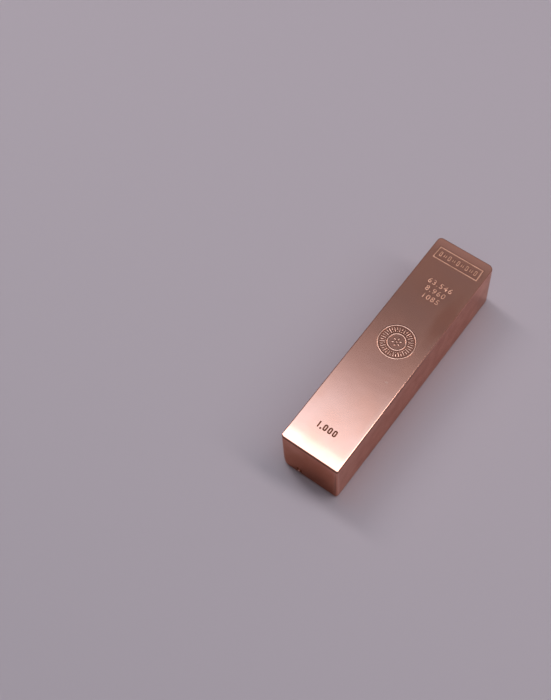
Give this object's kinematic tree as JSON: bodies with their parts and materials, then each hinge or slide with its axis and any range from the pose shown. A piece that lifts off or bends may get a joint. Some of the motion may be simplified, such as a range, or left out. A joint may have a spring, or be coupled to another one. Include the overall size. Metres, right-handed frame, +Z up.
{
  "type": "copper ingot",
  "caption": "Cast copper bar, nearly square in section, with slightly leaning sides, rounded corners and a flat struck face.",
  "frame": {"origin": "middle of the underside, where the ingot rests on the floor", "axes": "+Y along the length, away from the end with the weight mark; +Z up, out of the struck face; +X across"},
  "size_m": [0.031, 0.1278, 0.0288],
  "materials": {
    "copper": "satin"
  },
  "bodies": {
    "root": {"ingot": "copper"}
  },
  "joints": []
}
